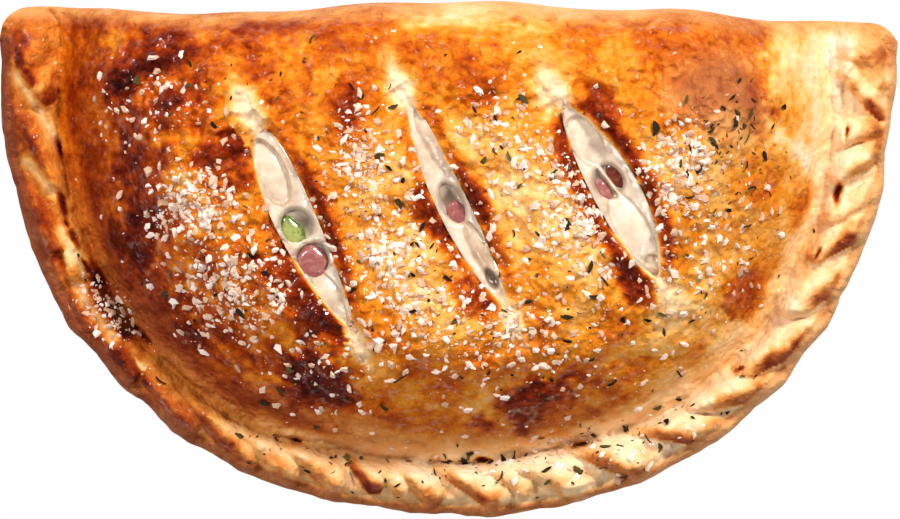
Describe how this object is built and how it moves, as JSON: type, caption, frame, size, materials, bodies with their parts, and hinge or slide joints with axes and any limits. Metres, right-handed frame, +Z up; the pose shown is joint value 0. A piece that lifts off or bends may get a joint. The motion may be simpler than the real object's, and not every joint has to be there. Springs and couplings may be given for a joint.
{
  "type": "baked calzone",
  "caption": "Baked calzone: folded pizza dough with a crimped rim, slanting cuts in the top showing melted cheese, ham and green pepper, grated cheese and herbs on the crust.",
  "frame": {"origin": "middle of the bounding box, at the level of the flat underside that the calzone lies on", "axes": "+X along the fold from its left corner to its right one, +Y from the crimped rim to the fold, +Z up"},
  "size_m": [0.2401, 0.1383, 0.0463],
  "materials": {
    "baked_crust": "egg-washed pizza dough baked golden with deep brown patches, satin sheen",
    "melted_cheese": "melted mozzarella, wet and glossy",
    "green_pepper": "cooked green pepper, wet skin",
    "ham": "cooked ham, moist pink surface",
    "grated_cheese": "grated hard cheese, dry matt crumbs",
    "dried_herbs": "dried oregano and parsley flakes, matt"
  },
  "bodies": {
    "root": {"crust": "baked_crust", "cheese_filling": "melted_cheese", "green_pepper": "green_pepper", "ham_left": "ham", "ham_middle": "ham", "ham_right_upper": "ham", "ham_right_lower": "ham"}
  },
  "joints": []
}
